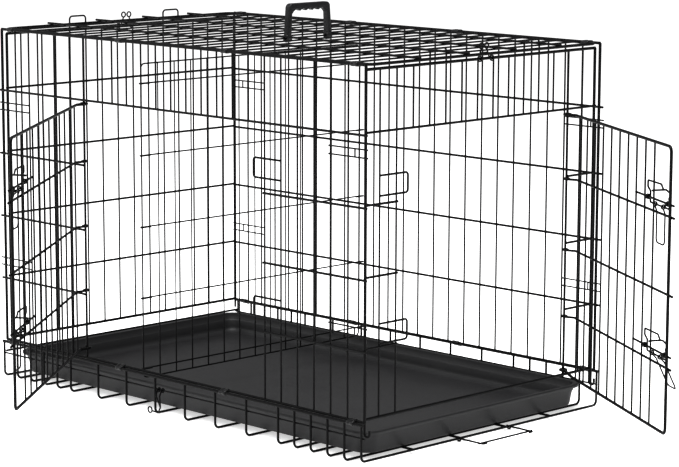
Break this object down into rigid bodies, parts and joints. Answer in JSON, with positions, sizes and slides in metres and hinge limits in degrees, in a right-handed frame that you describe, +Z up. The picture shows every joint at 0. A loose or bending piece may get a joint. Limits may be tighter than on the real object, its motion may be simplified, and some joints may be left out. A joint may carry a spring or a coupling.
{
  "type": "wire dog crate",
  "caption": "Folding wire dog crate with a front and an end door on slide-bolt latches, pull-out tray, divider panel and carry handle.",
  "frame": {"origin": "on the floor, under the middle of the crate's floor grid", "axes": "+X along the length towards the end with a door, +Y across the width away from the side door, +Z up"},
  "size_m": [1.3106, 0.9654, 0.69],
  "materials": {
    "black_wire": "satin black e-coat",
    "clip_steel": "satin black sheet steel",
    "tray_plastic": "fine-grained moulded plastic",
    "handle_plastic": "satin moulded plastic"
  },
  "bodies": {
    "crate": {"floor_base": "black_wire", "floor_side_front": "black_wire", "floor_side_back": "black_wire", "floor_far_end": "black_wire", "front_panel_left": "black_wire", "front_panel_header": "black_wire", "front_panel_right": "black_wire", "front_panel_sill": "black_wire", "back_panel": "black_wire", "near_panel_left": "black_wire", "near_panel_header": "black_wire", "near_panel_right": "black_wire", "near_panel_sill": "black_wire", "far_panel": "black_wire", "roof_panel": "black_wire", "roof_clips_front": "clip_steel", "roof_clips_back": "clip_steel", "sill_clips_front": "clip_steel", "sill_clips_back": "clip_steel", "corner_catches_front": "black_wire", "corner_catches_back": "black_wire", "corner_hooks_near": "black_wire", "corner_hooks_far": "black_wire", "roof_arches_near": "black_wire", "roof_arches_far": "black_wire", "side_strikes": "black_wire", "end_strikes": "black_wire"},
    "side_door": {"side_door_frame": "black_wire", "side_door_wires": "black_wire"},
    "side_door_lower_bolt": {"side_door_lower_bolt": "black_wire"},
    "side_door_lower_pull": {"side_door_lower_pull": "black_wire"},
    "side_door_upper_bolt": {"side_door_upper_bolt": "black_wire"},
    "side_door_upper_pull": {"side_door_upper_pull": "black_wire"},
    "end_door": {"end_door_frame": "black_wire", "end_door_wires": "black_wire"},
    "end_door_lower_bolt": {"end_door_lower_bolt": "black_wire"},
    "end_door_lower_pull": {"end_door_lower_pull": "black_wire"},
    "end_door_upper_bolt": {"end_door_upper_bolt": "black_wire"},
    "end_door_upper_pull": {"end_door_upper_pull": "black_wire"},
    "tray": {"tray": "tray_plastic"},
    "tray_stop": {"tray_stop": "black_wire"},
    "carry_handle": {"carry_handle": "handle_plastic"},
    "divider_panel": {"divider_panel": "black_wire"},
    "end_spring_clip_near": {"end_spring_clip_near": "black_wire"},
    "end_spring_clip_far": {"end_spring_clip_far": "black_wire"},
    "folding_lock": {"folding_lock": "black_wire"}
  },
  "joints": [
    {"name": "side_door_hinge", "type": "hinge", "parent": "crate", "child": "side_door", "pos_m": [-0.228, -0.27975, 0.3], "axis": [0, 0, -1], "range_deg": [-51.5, 98.5]},
    {"name": "side_door_lower_bolt_slide", "type": "slide", "parent": "side_door", "child": "side_door_lower_bolt", "axis": [-0.6225, 0.7826, 0], "range_m": [-0.0075, 0]},
    {"name": "side_door_lower_pull_hinge", "type": "hinge", "parent": "side_door_lower_bolt", "child": "side_door_lower_pull", "pos_m": [0.02401, -0.62107, 0.1984], "axis": [-0.6225, 0.7826, 0], "range_deg": [0, 120]},
    {"name": "side_door_upper_bolt_slide", "type": "slide", "parent": "side_door", "child": "side_door_upper_bolt", "axis": [-0.6225, 0.7826, 0], "range_m": [-0.0075, 0]},
    {"name": "side_door_upper_pull_hinge", "type": "hinge", "parent": "side_door_upper_bolt", "child": "side_door_upper_pull", "pos_m": [0.02401, -0.62107, 0.4252], "axis": [-0.6225, 0.7826, 0], "range_deg": [0, 120]},
    {"name": "end_door_hinge", "type": "hinge", "parent": "crate", "child": "end_door", "pos_m": [0.45, 0.20515, 0.3], "axis": [0, 0, 1], "range_deg": [-60, 75]},
    {"name": "end_door_lower_bolt_slide", "type": "slide", "parent": "end_door", "child": "end_door_lower_bolt", "axis": [-0.866, 0.5, 0], "range_m": [-0.0075, 0]},
    {"name": "end_door_lower_pull_hinge", "type": "hinge", "parent": "end_door_lower_bolt", "child": "end_door_lower_pull", "pos_m": [0.78585, 0.02886, 0.182], "axis": [0.866, -0.5, 0], "range_deg": [-25, 95]},
    {"name": "end_door_upper_bolt_slide", "type": "slide", "parent": "end_door", "child": "end_door_upper_bolt", "axis": [-0.866, 0.5, 0], "range_m": [-0.0075, 0]},
    {"name": "end_door_upper_pull_hinge", "type": "hinge", "parent": "end_door_upper_bolt", "child": "end_door_upper_pull", "pos_m": [0.78585, 0.02886, 0.4165], "axis": [0.866, -0.5, 0], "range_deg": [0, 120]},
    {"name": "tray_slide", "type": "slide", "parent": "crate", "child": "tray", "axis": [1, 0, 0], "range_m": [0, 0.86]},
    {"name": "tray_stop_hinge", "type": "hinge", "parent": "crate", "child": "tray_stop", "pos_m": [0.456, 0, 0.006], "axis": [0, 1, 0], "range_deg": [-90, 0]},
    {"name": "carry_handle_hinge", "type": "hinge", "parent": "crate", "child": "carry_handle", "pos_m": [0.038, 0, 0.631], "axis": [0, 1, 0], "range_deg": [-75, 75]},
    {"name": "divider_lift", "type": "slide", "parent": "crate", "child": "divider_panel", "axis": [0, 0, 1], "range_m": [0, 0.015]},
    {"name": "end_spring_clip_near_hinge", "type": "hinge", "parent": "crate", "child": "end_spring_clip_near", "pos_m": [0.45, 0, 0.622], "axis": [0, -1, 0], "range_deg": [0, 60]},
    {"name": "end_spring_clip_far_hinge", "type": "hinge", "parent": "crate", "child": "end_spring_clip_far", "pos_m": [-0.45, 0, 0.622], "axis": [0, 1, 0], "range_deg": [0, 60]},
    {"name": "folding_lock_hinge", "type": "hinge", "parent": "crate", "child": "folding_lock", "pos_m": [-0.027, -0.28365, 0.043], "axis": [-1, 0, 0], "range_deg": [0, 80]}
  ]
}
